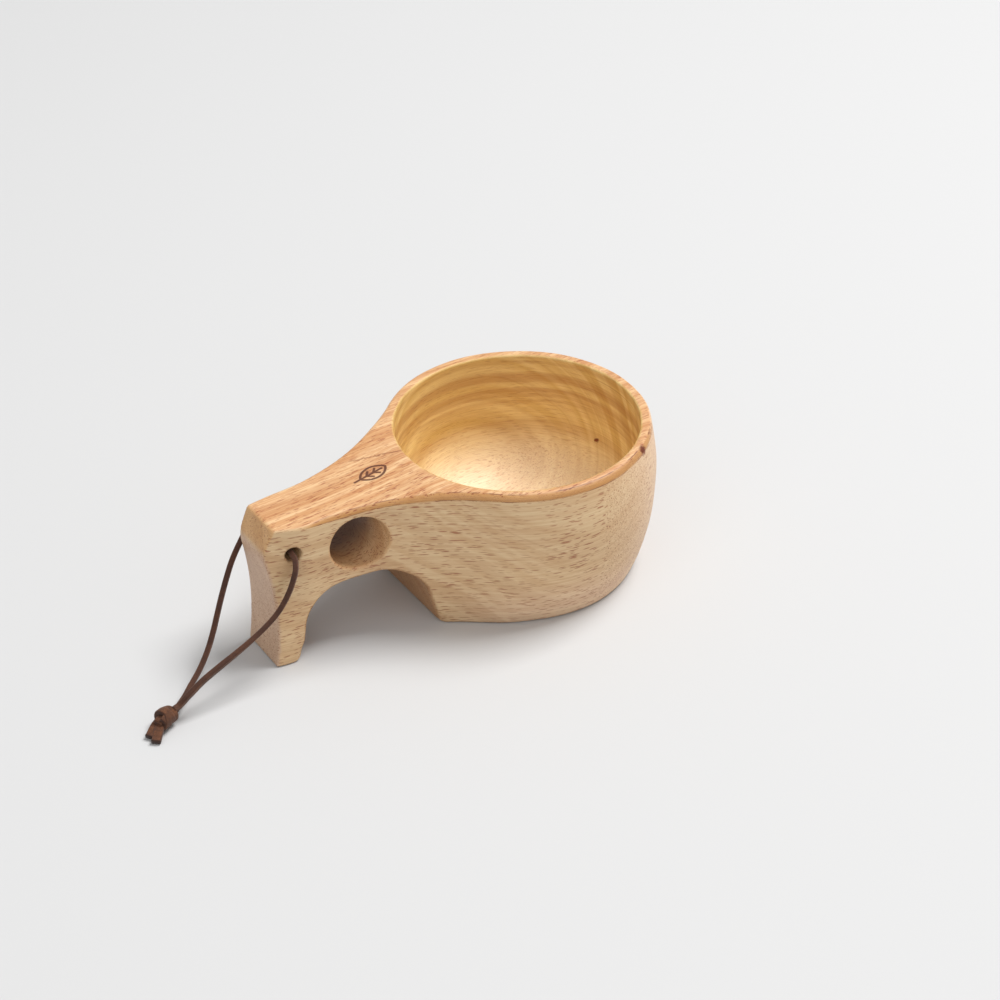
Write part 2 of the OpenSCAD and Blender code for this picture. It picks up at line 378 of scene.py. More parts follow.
# %% Shape functions, in mm
def round_cut(a, b, r):
    """Inside both a and b, the edge between them rounded: min(-r, max(a, b)) + |(a + r, b + r) above 0|."""
    return np.minimum(-r, np.maximum(a, b)) + np.hypot(np.maximum(a + r, 0), np.maximum(b + r, 0))


def convex_distance(x, z, corners):
    """Distance to a convex outline whose corners run anticlockwise, negative inside."""
    nearest = np.full(x.shape, np.inf)
    within = np.full(x.shape, True)
    for (x0, z0), (x1, z1) in zip(corners, corners[1:] + corners[:1]):
        ex, ez = x1 - x0, z1 - z0
        wx, wz = x - x0, z - z0
        t = np.clip((wx * ex + wz * ez) / (ex * ex + ez * ez), 0, 1)
        nearest = np.minimum(nearest, np.hypot(wx - ex * t, wz - ez * t))
        within &= ex * wz - ez * wx > 0
    return np.where(within, -nearest, nearest)


# %% The cup's sizes, in mm
RIM_HEIGHT = cup_high[2]
RIM_R, BORE_R, FLOOR_TOP, CORNER_R = 44.5, 41.0, 8.0, 26.0
BELLY_R, BELLY_ARC, BELLY_HEIGHT = 46.6, 91.6, 34.0
NECK_Y, NECK_R = 91.0, 80.0
NECK_X = -math.sqrt((RIM_R + NECK_R) ** 2 - NECK_Y ** 2)
GRIP_HALF = NECK_Y - NECK_R
NOSE_X, FACET_X, FACET_LOW, FACET_HIGH = cup_low[0], cup_low[0] + 4.3, 42.6, 51.1
DIP_R, DIP_LOW_X = 584.0, -95.7
END_HOLLOW, END_ARC = 2.2, 104.0
LEG_ARCH, BOWL_ARCH, ARCH_R = (-74.0, 10.2), (-62.4, 11.0), 14.8
LEG_SPREAD, BOWL_SPREAD = 0.17, 0.25
BASE_EDGE, END_EDGE, FACET_EDGE, HOLE_EDGE, THONG_EDGE = 0.7, 0.6, 2.2, 0.8, 0.4
FINGER_HOLE, FINGER_R = (-68.6, 38.6), 9.7
THONG_HOLE, THONG_R = (-90.5, 41.5), 2.6


def belly_radius(z):
    """The bowl's outer radius at height z: one large arc, widest a little above half way."""
    return BELLY_R - BELLY_ARC + np.sqrt(BELLY_ARC ** 2 - (z - BELLY_HEIGHT) ** 2)


def plan_distance(x, y, z):
    """Distance from the cup's outline seen from above, at height z.

    Right of the line from the bowl's middle to a neck arc's middle it is the bowl's circle. Left of that
    it is the neck's hollow arc, and beyond the arc's middle the grip, which narrows towards its end. Both
    lean in towards the floor, the neck half as much as the bowl, and the grip not at all. The grip's end is
    not quite even: its far side narrows less. Its near side is cut in at the top and spreads at the foot.
    """
    near, y = y < 0, np.abs(y)
    lean = RIM_R - belly_radius(z)
    lean = np.where(lean > 0, lean * (1 - 0.5 * smoothstep(-x, 15, 34)), lean) * (1 - smoothstep(-x, 42, 64))
    bowl = np.hypot(x, y) - RIM_R + lean
    neck = NECK_R - np.hypot(x - NECK_X, y - NECK_Y) + lean
    narrowing = np.maximum(-85 - x, 0) ** 1.4
    flare = (1.9 - 3.4 * z / FACET_LOW) * smoothstep(-x, 84, 100)
    grip = y - GRIP_HALF + np.where(near, 0.0688 * narrowing - flare, 0.037 * narrowing)
    handle = np.where(x > NECK_X, neck, grip)
    return np.where(x * NECK_Y - y * NECK_X > 0, bowl, handle)


def top_height(x):
    """The top face: level round the bowl, and a long shallow dip along the handle."""
    dip = FACET_HIGH + (x - DIP_LOW_X) ** 2 / (2 * DIP_R)
    return RIM_HEIGHT - np.maximum(RIM_HEIGHT - dip, 0) * (x < -30)


def cavity_distance(x, y, z):
    """Distance from the inside of the bowl: a straight wall that turns into the floor with a wide corner."""
    out = np.hypot(x, y) - (BORE_R - CORNER_R)
    below = FLOOR_TOP + CORNER_R - z
    from_core = np.hypot(np.maximum(out, 0), np.maximum(below, 0))
    return from_core + np.minimum(np.maximum(out, below), 0) - CORNER_R


def arch_distance(x, z):
    """Distance from the opening under the handle: ARCH_R round a core that spreads downwards."""
    drop = 20
    feet = [(LEG_ARCH[0] - LEG_SPREAD * drop, LEG_ARCH[1] - drop),
            (BOWL_ARCH[0] + BOWL_SPREAD * drop, BOWL_ARCH[1] - drop)]
    return convex_distance(x, z, [feet[0], feet[1], BOWL_ARCH, LEG_ARCH]) - ARCH_R


def end_distance(x, z):
    """Distance from the handle's hollowed end face, positive in front of it."""
    return END_ARC - np.hypot(x - (NOSE_X + END_HOLLOW - END_ARC), z - FACET_LOW / 2)


def facet_distance(x, z):
    """Distance from the slanting facet above the end face."""
    run, rise = FACET_X - NOSE_X, FACET_HIGH - FACET_LOW
    return (run * (z - FACET_LOW) - rise * (x - NOSE_X)) / math.hypot(run, rise)


def rolled_edge(x, y):
    """The top edge's radius: rolled over along the near neck and the bowl's front, and crisp elsewhere."""
    around = np.degrees(np.arctan2(y, x))
    near = smoothstep(-around, 20, 80) * smoothstep(x, -94, -72) * (y < 0)
    return 0.9 + 1.5 * near


def hand_work(x, y, z):
    """A shallow unevenness that a knife and sandpaper leave, a tenth of a millimetre or so."""
    along = 0.09 * np.sin(0.19 * x + 0.11 * z + 1.3) * np.sin(0.23 * z - 0.07 * x)
    return along + 0.06 * np.sin(0.31 * y + 0.17 * z)


def cup_distance(p):
    """How far each point is outside the wood, in mm, negative inside."""
    x, y, z = p[..., 0], p[..., 1], p[..., 2]
    f = round_cut(plan_distance(x, y, z) + hand_work(x, y, z) - 0.15, -z, BASE_EDGE)
    f = round_cut(f, round_cut(end_distance(x, z), facet_distance(x, z), FACET_EDGE), END_EDGE)
    f = round_cut(f, z - top_height(x), rolled_edge(x, y))
    leg_foot = 2.3 * (1 - smoothstep(z, 2, 8)) * (x < -75)
    bowl_foot = 1.4 * (1 - smoothstep(z, 1, 9)) * (x > -60)
    f = round_cut(f, -arch_distance(x, z), 0.9 + leg_foot + bowl_foot)
    f = round_cut(f, FINGER_R - np.hypot(x - FINGER_HOLE[0], z - FINGER_HOLE[1]), HOLE_EDGE)
    f = round_cut(f, THONG_R - np.hypot(x - THONG_HOLE[0], z - THONG_HOLE[1]), THONG_EDGE)
    return round_cut(f, -cavity_distance(x, y, z), HOLE_EDGE)


# %% [markdown]
# ## From the field to a mesh
# A surface net turns the field into quads. Space is cut into small cubes, each cube that the surface
# passes through gets one point, and each cube edge that it crosses joins the four cubes around it with a
# quad. Marching cubes would do too, but it leaves slivers. The points are then moved onto the surface by
# Newton's method, and the field's own slope gives exact shading normals.

# %% Surface net
def surface_net(field, low, pitch):
    """Points and quads of the surface where the field is 0: a cube's point is its edge crossings' mean."""
    cells = tuple(n - 1 for n in field.shape)
    total, hits = np.zeros(cells + (3,), np.float32), np.zeros(cells, np.float32)
    quads = []
    inside = field < 0
    corners = sum(inside[i:i + cells[0], j:j + cells[1], k:k + cells[2]].astype(np.int8)
                  for i in (0, 1) for j in (0, 1) for k in (0, 1))
    number = np.full(cells, -1)
    used = (corners > 0) & (corners < 8)
    number[used] = np.arange(used.sum())
    for axis in range(3):
        a, b = np.moveaxis(field, axis, 0)[:-1], np.moveaxis(field, axis, 0)[1:]
        crossed = (a < 0) != (b < 0)
        share = np.where(crossed, a / np.where(crossed, a - b, 1), 0)
        sums, counts, ids = (np.moveaxis(grid, axis, 0) for grid in (total, hits, number))
        for v in (0, 1):
            for w in (0, 1):
                part = crossed[:, v:v + sums.shape[1], w:w + sums.shape[2]]
                counts += part
                sums[..., axis] += share[:, v:v + sums.shape[1], w:w + sums.shape[2]]
                others = [o for o in range(3) if o != axis]
                sums[..., others[0]] += part * v
                sums[..., others[1]] += part * w
        edge = crossed[:, 1:-1, 1:-1]
        ring = [ids[:, :-1, :-1], ids[:, 1:, :-1], ids[:, 1:, 1:], ids[:, :-1, 1:]]
        four = np.stack([r[edge] for r in ring], axis=1)
        flip = (a[:, 1:-1, 1:-1][edge] < 0) != (axis == 1)
        quads.append(np.where(flip[:, None], four, four[:, ::-1]))
    place = np.stack(np.nonzero(used), axis=1) + total[used] / hits[used][:, None]
    return low + pitch * place, np.concatenate(quads)


def field_slope(p, step=0.03):
    """The field's gradient at each point, by central differences."""
    shift = np.eye(3) * step
    return np.stack([(cup_distance(p + d) - cup_distance(p - d)) / (2 * step) for d in shift], axis=-1)


def onto_surface(p, rounds=3):
    """Newton's method: each point moves by -f * slope / |slope|^2, at most 0.4 mm at a time."""
    for _ in range(rounds):
        slope = field_slope(p)
        step = -cup_distance(p)[:, None] * slope / np.maximum((slope ** 2).sum(1, keepdims=True), 0.2)
        p = p + step * np.minimum(1, 0.4 / np.maximum(np.linalg.norm(step, axis=1, keepdims=True), 1e-9))
    return p


def evened(p, quads, rounds=3):
    """Each point moves half way to the mean of the points that it shares a quad side with, then back on."""
    a, b = quads.ravel(), np.roll(quads, -1, axis=1).ravel()
    count = np.bincount(a, minlength=len(p)) + np.bincount(b, minlength=len(p))
    for _ in range(rounds):
        total = [np.bincount(a, p[b, k], len(p)) + np.bincount(b, p[a, k], len(p)) for k in range(3)]
        p = onto_surface(0.5 * p + 0.5 * np.stack(total, 1) / count[:, None], 1)
    return onto_surface(p, 2)


# %% The cup's mesh
PITCH = 0.8
grid_low = cup_low - 1.62 * PITCH
steps = np.ceil((cup_high - cup_low + 3.4 * PITCH) / PITCH).astype(int) + 1
axes = [grid_low[k] + PITCH * np.arange(steps[k]) for k in range(3)]
field = cup_distance(np.stack(np.meshgrid(*axes, indexing="ij"), axis=-1))
points, quads = surface_net(field, grid_low, PITCH)
points = evened(onto_surface(points), quads)
cup = add_mesh("cup", points * MM, quads.tolist())
normals = unit(field_slope(points))
cup.data.normals_split_custom_set_from_vertices(normals.tolist())
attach(cup, "cup")
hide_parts("wooden_cup")
worst = float(np.abs(cup_distance(points)).max())
sides = np.sort(np.stack([quads, np.roll(quads, -1, axis=1)], axis=-1).reshape(-1, 2), axis=1)
side_uses = np.unique(sides, axis=0, return_counts=True)[1]
print("cup: sides that are not shared by exactly two quads:", int((side_uses != 2).sum()))
print("cup:", len(points), "points", len(quads), "quads, off the surface by at most", round(worst, 4), "mm")
print("cup, mm:", np.round(points.min(0), 2), np.round(points.max(0), 2))

# %% [markdown]
# ## Where the wood's surfaces are
# The wood looks different from face to face: the bowl's inside is darker from oil, the end face smoother.
# The field's parts say which face each point is on, so the mesh carries one number for each, between 0 and
# 1.

# %% Numbers for the material
px, py, pz = points.T


def near_zero(distance, reach=0.35, fade=0.5):
    """1 where a face's own distance is 0, falling to 0 just beyond it."""
    return 1 - smoothstep(np.abs(distance), reach, reach + fade)


add_values(cup, "inside", near_zero(cavity_distance(px, py, pz)) * (pz > FLOOR_TOP - 1))
add_values(cup, "finger", near_zero(np.hypot(px - FINGER_HOLE[0], pz - FINGER_HOLE[1]) - FINGER_R, 0.3, 0.3))
add_values(cup, "arch", near_zero(arch_distance(px, pz)))
add_values(cup, "end", near_zero(end_distance(px, pz)) * (px < -90))
add_values(cup, "facet", near_zero(facet_distance(px, pz), 0.2, 0.3) * (px < -90))
add_values(cup, "rolled", smoothstep(rolled_edge(px, py), 0.95, 1.7))
in_bowl = near_zero(cavity_distance(px, py, pz)) > 0.5
lies_flat = smoothstep(np.abs(normals[:, 2]), 0.35, 0.8)
follows_y = np.maximum(lies_flat, np.where(in_bowl, 0, smoothstep(px, 2, 34)))
wall_depth = np.where(in_bowl, cavity_distance(px, py, pz) + 20, plan_distance(px, py, pz) - 11)
add_values(cup, "grain_across", py * follows_y + wall_depth * (1 - follows_y))
print("numbers:", [layer.name for layer in cup.data.attributes if layer.data_type == "FLOAT"])

# %% [markdown]
# ## Wood
# The grain is one pattern in space, cut by every face, as in a real block. Its rings are large cylinders
# whose middle runs along the handle, far off to the back, so they show as long lines on the top face,
# broad arcs on the sides and upright stripes at the bowl's front end. Fine fibres and pores run along the
# handle: a pore shows as a dash on a long face and as a dot on an end face, all from the same stretched
# cells.

# %% Shader helpers
def linear(r, g, b):
    """A colour as seen on a screen, 0 to 255, as linear light with an alpha of 1."""
    c = np.array([r, g, b]) / 255
    return tuple(np.where(c <= 0.04045, c / 12.92, ((c + 0.055) / 1.055) ** 2.4).tolist()) + (1.0,)


def place(tree, kind, links=None, **settings):
    """A shader node. links gives its inputs: a socket to link from, or a plain value."""
    node = tree.nodes.new("ShaderNode" + kind)
    for key, value in settings.items():
        setattr(node, key, value)
    for key, value in (links or {}).items():
        socket = node.inputs[key]
        if isinstance(value, bpy.types.NodeSocket):
            tree.links.new(value, socket)
        else:
            socket.default_value = value
    return node


def math_node(tree, operation, a, b=0.0, c=0.0, clamp=False):
    """One step of arithmetic."""
    return place(tree, "Math", {0: a, 1: b, 2: c}, operation=operation, use_clamp=clamp).outputs[0]


def between(tree, value, low, high, out_low=0.0, out_high=1.0):
    """A smooth step: out_low below low, out_high above high."""
    return place(tree, "MapRange", {"Value": value, "From Min": low, "From Max": high, "To Min": out_low,
                                    "To Max": out_high}, interpolation_type="SMOOTHSTEP").outputs["Result"]


def blend(tree, share, a, b, how="MIX"):
    """A mix of two colours."""
    node = place(tree, "Mix", {0: share, 6: a, 7: b}, data_type="RGBA", blend_type=how)
    return node.outputs[2]


def stretched(tree, vector, x, y, z):
    """A vector with each part scaled."""
    return place(tree, "VectorMath", {0: vector, 1: (x, y, z)}, operation="MULTIPLY").outputs[0]


def noise(tree, vector, scale, detail=2.0, roughness=0.5, distortion=0.0):
    """Smooth noise in space, about 0.5."""
    inputs = {"Vector": vector, "Scale": scale, "Detail": detail, "Roughness": roughness,
              "Distortion": distortion}
    return place(tree, "TexNoise", inputs).outputs["Fac"]


def read_number(tree, name):
    """A number that the mesh carries."""
    return place(tree, "Attribute", attribute_name=name).outputs["Fac"]


def new_material(name):
    """A material with an empty tree but for its output and its Principled shader."""
    material = bpy.data.materials.new(name)
    material.use_nodes = True
    tree = material.node_tree
    tree.nodes.clear()
    shader = place(tree, "BsdfPrincipled")
    out = place(tree, "OutputMaterial")
    tree.links.new(shader.outputs[0], out.inputs["Surface"])
    return material, tree, shader


# %% Wood: place and grain
wood, t, shader = new_material("cup_wood")
coords = place(t, "TexCoord").outputs["Object"]
mm_place = place(t, "VectorMath", {0: coords, "Scale": 1000.0}, operation="SCALE").outputs[0]
wander = place(t, "TexNoise", {"Vector": stretched(t, mm_place, 0.010, 0.020, 0.020), "Scale": 1.0,
                               "Detail": 1.5}).outputs["Color"]
centred = place(t, "VectorMath", {0: wander, 1: (0.5, 0.5, 0.5)}, operation="SUBTRACT").outputs[0]
warped = place(t, "VectorMath", {0: stretched(t, centred, 0.0, 13.0, 13.0), 1: mm_place},
               operation="ADD").outputs[0]
from_pith = place(t, "VectorMath", {0: warped, 1: (0, 120, -60)}, operation="SUBTRACT").outputs[0]
off_pith = stretched(t, from_pith, 0.0, 1.0, 1.0)
ring = place(t, "VectorMath", {0: off_pith}, operation="LENGTH").outputs["Value"]
ring_tone = place(t, "TexNoise", {"W": ring, "Scale": 0.22, "Detail": 4.0, "Roughness": 0.62},
                  noise_dimensions="1D").outputs["Fac"]
ring_line = place(t, "TexNoise", {"W": ring, "Scale": 0.075, "Detail": 1.0, "Roughness": 0.5},
                  noise_dimensions="1D").outputs["Fac"]
line = between(t, math_node(t, "ABSOLUTE", math_node(t, "SUBTRACT", ring_line, 0.5)), 0.0, 0.03, 1.0, 0.0)

# %% Wood: fibres and pores
xyz = place(t, "SeparateXYZ", {0: mm_place}).outputs
grain_parts = {0: xyz["X"], 1: read_number(t, "grain_across"), 2: xyz["Z"]}
grain_place = place(t, "CombineXYZ", grain_parts).outputs[0]
fibre = noise(t, stretched(t, grain_place, 0.022, 0.9, 0.9), 1.0, 4.0, 0.62, 0.25)
fine_fibre = noise(t, stretched(t, grain_place, 0.06, 3.2, 3.2), 1.0, 3.0, 0.6)


def pores(cell_length, cell_width, size, seed):
    """Long closed cells, with one pore in the middle of each, as a mask from 0 to 1."""
    shift = (seed, seed * 1.7, seed * 0.6)
    moved = place(t, "VectorMath", {0: grain_place, 1: shift}, operation="ADD").outputs[0]
    cells = stretched(t, moved, 1 / cell_length, 1 / cell_width, 1 / cell_width)
    cell = place(t, "TexVoronoi", {"Vector": cells, "Scale": 1.0, "Randomness": 1.0},
                 feature="F1").outputs["Distance"]
    return between(t, cell, size * 0.55, size, 1.0, 0.0)


pore = math_node(t, "MAXIMUM", pores(cell_length=8.0, cell_width=1.0, size=0.25, seed=0.0),
                 pores(cell_length=6.0, cell_width=0.8, size=0.25, seed=31.0))
pore = math_node(t, "MAXIMUM", pore, pores(cell_length=4.2, cell_width=0.62, size=0.26, seed=77.0))
crowd = between(t, noise(t, stretched(t, mm_place, 0.025, 0.07, 0.07), 1.0, 2.0), 0.32, 0.56, 0.5, 1.0)
pore = math_node(t, "MULTIPLY", pore, crowd)

# %% Wood: which face
normal = place(t, "NewGeometry").outputs["Normal"]
facing = place(t, "SeparateXYZ", {0: normal}).outputs
inside, finger, arch = (read_number(t, name) for name in ("inside", "finger", "arch"))
end, facet, rolled = (read_number(t, name) for name in ("end", "facet", "rolled"))
slope_low = between(t, facing["Z"], 0.20, 0.40)
slope_high = between(t, facing["Z"], 0.84, 0.97, 1.0, 0.0)
on_edge = math_node(t, "MULTIPLY", math_node(t, "MULTIPLY", slope_low, slope_high),
                    between(t, xyz["Z"], 46.5, 48.5))
bevel = math_node(t, "MULTIPLY", math_node(t, "MULTIPLY", on_edge, rolled),
                  math_node(t, "SUBTRACT", 1.0, inside))
top = math_node(t, "MULTIPLY", between(t, facing["Z"], 0.75, 0.97), between(t, xyz["Z"], 48.0, 50.0))

# %% Wood: colour
ring_share = between(t, ring_tone, 0.28, 0.68)
wavy = noise(t, stretched(t, mm_place, 0.02, 0.03, 0.03), 1.0)
side_colour = blend(t, ring_share, linear(220, 185, 140), linear(230, 200, 156))
top_colour = blend(t, ring_share, linear(215, 166, 116), linear(232, 194, 147))
inside_colour = blend(t, ring_share, linear(218, 180, 104), linear(238, 207, 138))
wavy_height = math_node(t, "MULTIPLY_ADD", wavy, 6.0, xyz["Z"])
bands = place(t, "TexNoise", {"W": wavy_height, "Scale": 0.16, "Detail": 2.0},
              noise_dimensions="1D").outputs["Fac"]
band_share = math_node(t, "MULTIPLY", between(t, bands, 0.42, 0.66), between(t, xyz["Z"], 18.0, 30.0))
inside_colour = blend(t, math_node(t, "MULTIPLY", band_share, 0.5), inside_colour, linear(178, 116, 50))
# Painted light: the bowl's floor and lower inside wall are painted near white, a painted pool of light where
# the lamp shines in.
lit_floor_share = math_node(t, "MULTIPLY", inside, between(t, xyz["Z"], 30.0, 11.0))
# The bowl's lower side is paler. Its right side, which faces the key light, is painted paler too: painted
# light.
pale_foot = math_node(t, "MULTIPLY", between(t, xyz["Z"], 22.0, 4.0), between(t, xyz["X"], -50.0, -20.0))
lit_right_and_pale_foot = math_node(t, "MAXIMUM", between(t, xyz["X"], 0.0, 40.0), pale_foot)
side_colour = blend(t, math_node(t, "MULTIPLY", lit_right_and_pale_foot, 0.75), side_colour, linear(238, 208, 176))
base = blend(t, top, side_colour, top_colour)
base = blend(t, inside, base, inside_colour)
base = blend(t, math_node(t, "MULTIPLY", lit_floor_share, 0.85), base, linear(255, 236, 202))
base = blend(t, math_node(t, "MULTIPLY", end, 0.7), base, linear(214, 182, 158))
base = blend(t, math_node(t, "MULTIPLY", facet, 0.6), base, linear(220, 166, 102))
base = blend(t, math_node(t, "MULTIPLY", bevel, 0.85), base, linear(188, 134, 72))
base = blend(t, math_node(t, "MULTIPLY", finger, 0.30), base, linear(220, 164, 104))
# Painted shade: the finger hole's wall turns dark brown towards its far side, where shade falls deeper in
# the hole.
far_in_hole = between(t, xyz["Y"], -9.0, 6.0)
finger_hole_shade = math_node(t, "MULTIPLY", finger, far_in_hole)
base = blend(t, math_node(t, "MULTIPLY", finger_hole_shade, 0.8), base, linear(80, 32, 12))
base = blend(t, math_node(t, "MULTIPLY", arch, 0.62), base, linear(150, 94, 46))
streak = between(t, fibre, 0.40, 0.62, 1.0, 0.0)
streak_depth = math_node(t, "MULTIPLY_ADD", top, 0.27, 0.16)
streak_depth = math_node(t, "MULTIPLY", streak_depth, math_node(t, "MULTIPLY_ADD", inside, -0.6, 1.0))
base = blend(t, math_node(t, "MULTIPLY", streak, streak_depth), base, linear(204, 144, 92), "MULTIPLY")
base = blend(t, math_node(t, "MULTIPLY", between(t, fine_fibre, 0.35, 0.6, 1.0, 0.0), 0.22), base,
             linear(196, 150, 104), "MULTIPLY")
base = blend(t, math_node(t, "MULTIPLY", line, 0.12), base, linear(180, 124, 80), "MULTIPLY")
bevel_line = math_node(t, "MULTIPLY", bevel, math_node(t, "SUBTRACT", 1.0, bevel))
broken = between(t, noise(t, stretched(t, mm_place, 0.09, 0.3, 0.3), 1.0, 2.0), 0.42, 0.60, 0.0, 0.75)
base = blend(t, math_node(t, "MULTIPLY", between(t, bevel_line, 0.12, 0.24), broken), base,
             linear(140, 84, 44), "MULTIPLY")

# %% [markdown]
# ## Marks of growth
# A real block is never clean. A thin dark vein runs across the neck, the rim has one brown flaw, and a pin
# knot shows inside the bowl. Each is a soft mask in space, its outline rippled by noise, so it cuts
# through the wood at the right place on every face.

# %% Wood: a vein, a flaw and a pin knot
RIM_FLAW, PIN_KNOT = (24.6, -37.0, 52.4), (39.0, 8.5, 26.0)
VEIN_MIDDLE, VEIN_SLOPE = (-49.0, 8.4), -0.325


def spot(x, y, z, half_x, half_y, half_z):
    """A soft mask round one place in the wood: 1 at its middle, 0 past an ellipsoid of these half sizes."""
    off = place(t, "VectorMath", {0: warped_fine, 1: (x, y, z)}, operation="SUBTRACT").outputs[0]
    off = stretched(t, off, 1 / half_x, 1 / half_y, 1 / half_z)
    size = place(t, "VectorMath", {0: off}, operation="LENGTH").outputs["Value"]
    return between(t, size, 0.45, 1.0, 1.0, 0.0)


ripple = place(t, "TexNoise", {"Vector": mm_place, "Scale": 0.6, "Detail": 2.0}).outputs["Color"]
ripple = place(t, "VectorMath", {0: ripple, 1: (0.5, 0.5, 0.5)}, operation="SUBTRACT").outputs[0]
warped_fine = place(t, "VectorMath", {0: stretched(t, ripple, 2.4, 2.4, 2.4), 1: mm_place},
                    operation="ADD").outputs[0]
marks = math_node(t, "MAXIMUM", spot(*RIM_FLAW, 2.0, 2.0, 2.6), spot(*PIN_KNOT, 1.3, 1.3, 1.3))
rippled = place(t, "SeparateXYZ", {0: warped_fine}).outputs
vein_start = VEIN_SLOPE * VEIN_MIDDLE[0] - VEIN_MIDDLE[1]
off_vein = math_node(t, "MULTIPLY_ADD", rippled["X"], -VEIN_SLOPE, vein_start)
off_vein = math_node(t, "ABSOLUTE", math_node(t, "ADD", rippled["Y"], off_vein))
along_vein = math_node(t, "ABSOLUTE", math_node(t, "SUBTRACT", xyz["X"], VEIN_MIDDLE[0]))
vein_length = between(t, along_vein, 5.0, 12.0, 1.0, 0.0)
vein = math_node(t, "MULTIPLY", between(t, off_vein, 0.1, 0.6, 1.0, 0.0), vein_length)
vein = math_node(t, "MULTIPLY", math_node(t, "MULTIPLY", vein, top), 0.6)
base = blend(t, math_node(t, "MAXIMUM", marks, vein), base, linear(150, 92, 50), "MULTIPLY")

# %% Wood: colour of the pores
pore_depth = math_node(t, "MULTIPLY_ADD", inside, -0.42, 0.72)
base = blend(t, math_node(t, "MULTIPLY", pore, pore_depth), base, linear(178, 104, 74), "MULTIPLY")

# %% [markdown]
# ## The burned leaf
# A maker burns a small mark into the handle. This one is a leaf: two arcs, a stem and four short veins. It
# is worked out as a distance from its strokes, so the line has one width and a soft, scorched edge. Half
# of it is enough, because the other half is its mirror image.

# %% Wood: the burned leaf on the handle
LEAF_AT, LEAF_TURN = (-54.8, 1.2), math.radians(8)
LEAF_HALF_LENGTH, LEAF_HALF_WIDTH, BURN_HALF = 5.0, 3.1, 0.46
leaf_arc = (LEAF_HALF_LENGTH ** 2 + LEAF_HALF_WIDTH ** 2) / (2 * LEAF_HALF_WIDTH)
leaf = place(t, "Mapping", {"Vector": mm_place, "Location": (*LEAF_AT, 0), "Rotation": (0, 0, LEAF_TURN)},
             vector_type="TEXTURE").outputs[0]
leaf_xyz = place(t, "SeparateXYZ", {0: leaf}).outputs
leaf_u, leaf_v = leaf_xyz["X"], math_node(t, "ABSOLUTE", leaf_xyz["Y"])


def length_of(a, b):
    """The length of a two-part vector."""
    squares = (math_node(t, "POWER", a, 2.0), math_node(t, "POWER", b, 2.0))
    return math_node(t, "SQRT", math_node(t, "ADD", *squares))


def stroke(u0, v0, u1, v1):
    """Distance from the straight stroke between two points of the leaf."""
    du, dv = u1 - u0, v1 - v0
    size = du * du + dv * dv
    run = math_node(t, "MULTIPLY_ADD", leaf_u, du / size, -(u0 * du + v0 * dv) / size)
    share = math_node(t, "MULTIPLY_ADD", leaf_v, dv / size, run, clamp=True)
    return length_of(math_node(t, "SUBTRACT", leaf_u, math_node(t, "MULTIPLY_ADD", share, du, u0)),
                     math_node(t, "SUBTRACT", leaf_v, math_node(t, "MULTIPLY_ADD", share, dv, v0)))


outline = math_node(t, "ABSOLUTE", math_node(t, "SUBTRACT", length_of(
    leaf_u, math_node(t, "ADD", leaf_v, leaf_arc - LEAF_HALF_WIDTH)), leaf_arc))
mark = math_node(t, "MINIMUM", outline, stroke(-7.4, 0, LEAF_HALF_LENGTH - 1.6, 0))
mark = math_node(t, "MINIMUM", mark, stroke(-2.6, 0, -1.0, 1.7))
mark = math_node(t, "MINIMUM", mark, stroke(0.2, 0, 1.7, 1.5))
mark = math_node(t, "ADD", mark, math_node(t, "MULTIPLY", math_node(t, "SUBTRACT", fine_fibre, 0.5), 0.25))
burned = math_node(t, "MULTIPLY", between(t, mark, BURN_HALF * 0.6, BURN_HALF * 1.3, 1.0, 0.0), top)
base = blend(t, math_node(t, "MULTIPLY", burned, 0.92), base, linear(86, 42, 22))

# %% Wood: finish
roughness = math_node(t, "ADD", math_node(t, "MULTIPLY", fibre, 0.16), 0.38)
turned = place(t, "TexNoise", {"W": xyz["Z"], "Scale": 1.6, "Detail": 3.0, "Roughness": 0.7},
               noise_dimensions="1D").outputs["Fac"]
height = math_node(t, "MULTIPLY", pore, -0.05)
height = math_node(t, "MULTIPLY_ADD", fine_fibre, 0.03, height)
height = math_node(t, "MULTIPLY_ADD", math_node(t, "MULTIPLY", turned, inside), 0.06, height)
height = math_node(t, "MULTIPLY_ADD", burned, -0.15, height)
bump = place(t, "Bump", {"Strength": 0.6, "Distance": 0.001, "Height": height}).outputs[0]
for name, value in (("Base Color", base), ("Roughness", roughness), ("Normal", bump)):
    t.links.new(value, shader.inputs[name])
shader.inputs["IOR"].default_value = 1.45
cup.data.materials.append(wood)
print("wood:", len(t.nodes), "nodes")

# %% [markdown]
# ## Leather
# The strap is cut from oiled suede: a matt brown with a short, uneven nap, darker along the cut edges and
# darkest at the ends.

# %% Leather
leather, t, shader = new_material("thong_leather")
coords = place(t, "TexCoord").outputs["Object"]
mm_place = place(t, "VectorMath", {0: coords, "Scale": 1000.0}, operation="SCALE").outputs[0]
nap = noise(t, mm_place, 2.6, 4.0, 0.7)
patch = noise(t, mm_place, 0.35, 2.0, 0.5)
base = blend(t, between(t, patch, 0.35, 0.65), linear(90, 52, 28), linear(116, 70, 40))
base = blend(t, math_node(t, "MULTIPLY", between(t, nap, 0.35, 0.65, 1.0, 0.0), 0.55), base,
             linear(54, 30, 18))
base = blend(t, math_node(t, "MULTIPLY", between(t, read_number(t, "edge"), 0.78, 1.0), 0.6), base,
             linear(56, 30, 22))
base = blend(t, math_node(t, "MULTIPLY", read_number(t, "cut"), 0.7), base, linear(44, 24, 18))
bump = place(t, "Bump", {"Strength": 0.7, "Distance": 0.001,
                         "Height": math_node(t, "MULTIPLY", nap, 0.25)}).outputs[0]
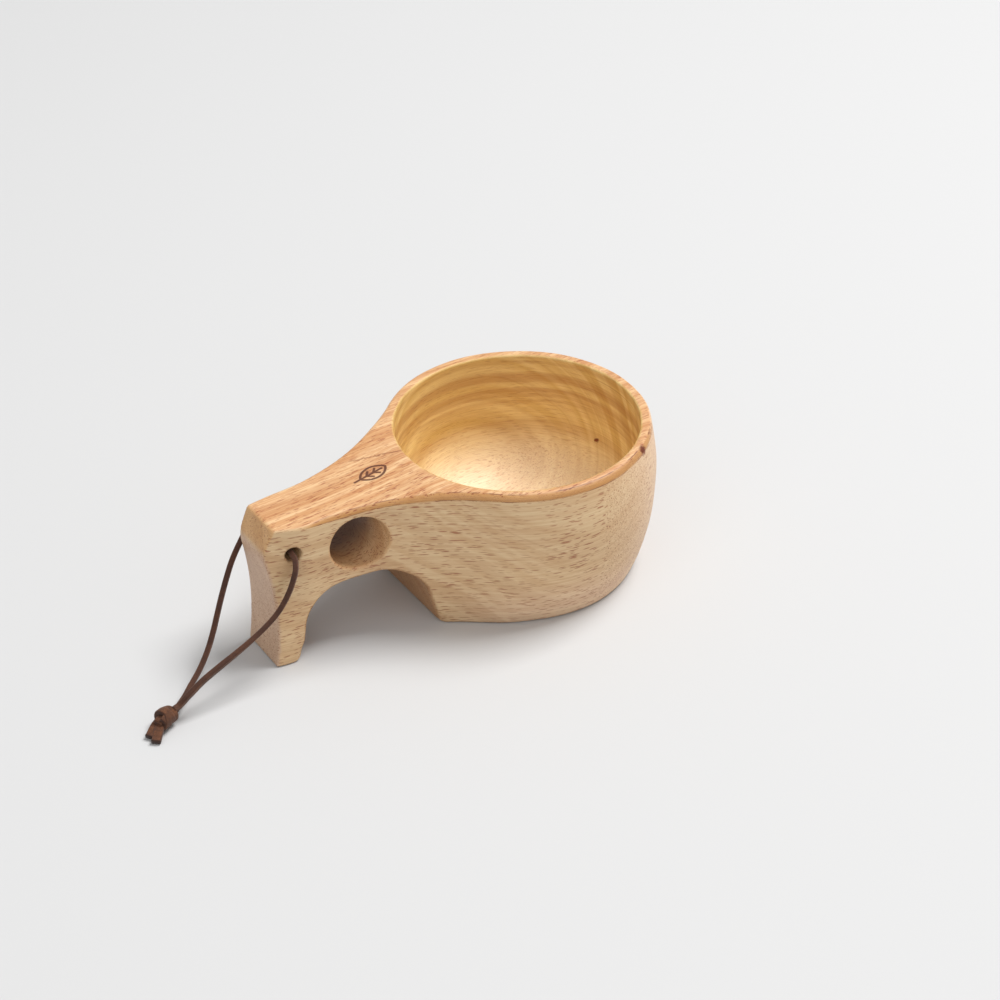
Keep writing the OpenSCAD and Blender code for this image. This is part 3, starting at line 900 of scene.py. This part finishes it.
for name, value in (("Base Color", base), ("Normal", bump)):
    t.links.new(value, shader.inputs[name])
shader.inputs["Roughness"].default_value = 0.85
shader.inputs["Sheen Weight"].default_value = 0.1
shader.inputs["Sheen Roughness"].default_value = 0.5
for piece in (near_leg, far_leg, knot, near_tail, far_tail):
    piece.data.materials.append(leather)

# %% [markdown]
# ## Table and light
# The cup stands on a pale table that fills the view, under a wide soft light from above and from the
# right, with an even light from all round that keeps the shadows open.

# %% Table, lamps and world
bpy.ops.mesh.primitive_plane_add(size=6, location=(0, 0, -0.0002))
table = bpy.context.active_object
table.name = "table"
table_material, t, shader = new_material("table")
shader.inputs["Base Color"].default_value = (0.62, 0.62, 0.62, 1)
shader.inputs["Roughness"].default_value = 0.9
shader.inputs["Specular IOR Level"].default_value = 0.1
table.data.materials.append(table_material)


def soft_light(name, direction, distance, size, power):
    """A square white lamp that faces the cup from a direction."""
    lamp = bpy.data.objects.new(name, bpy.data.lights.new(name, "AREA"))
    lamp.data.size, lamp.data.energy = size, power
    way = Vector(direction).normalized()
    lamp.location = way * distance
    lamp.rotation_euler = way.to_track_quat("Z", "Y").to_euler()
    bpy.context.scene.collection.objects.link(lamp)
    return lamp


behind = Vector((-back.x, -back.y, 0)).normalized()
above = Vector((0, 0, 1))
key = soft_light("key", right * 0.45 + behind * 0.2 + above, distance=2.6, size=1.1, power=67)
fill = soft_light("fill", back * 0.8 - right * 0.2 + above * 0.3, distance=1.6, size=1.4, power=4.6)
world = bpy.context.scene.world or bpy.data.worlds.new("studio")
bpy.context.scene.world = world
world.use_nodes = True
background = world.node_tree.nodes.get("Background") or world.node_tree.nodes.new("ShaderNodeBackground")
background.inputs["Color"].default_value = (1, 1, 1, 1)
background.inputs["Strength"].default_value = 0.42
bpy.context.scene.view_settings.view_transform = "Standard"
bpy.context.scene.view_settings.look = "None"
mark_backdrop(table, key, fill)

# %% Compare the box with the frame's, and finish
shown_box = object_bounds()
for title, box in (("frame's box", cad_box), ("shown box", shown_box)):
    print(title, "mm:", np.round(np.array(box) / MM, 1).tolist())
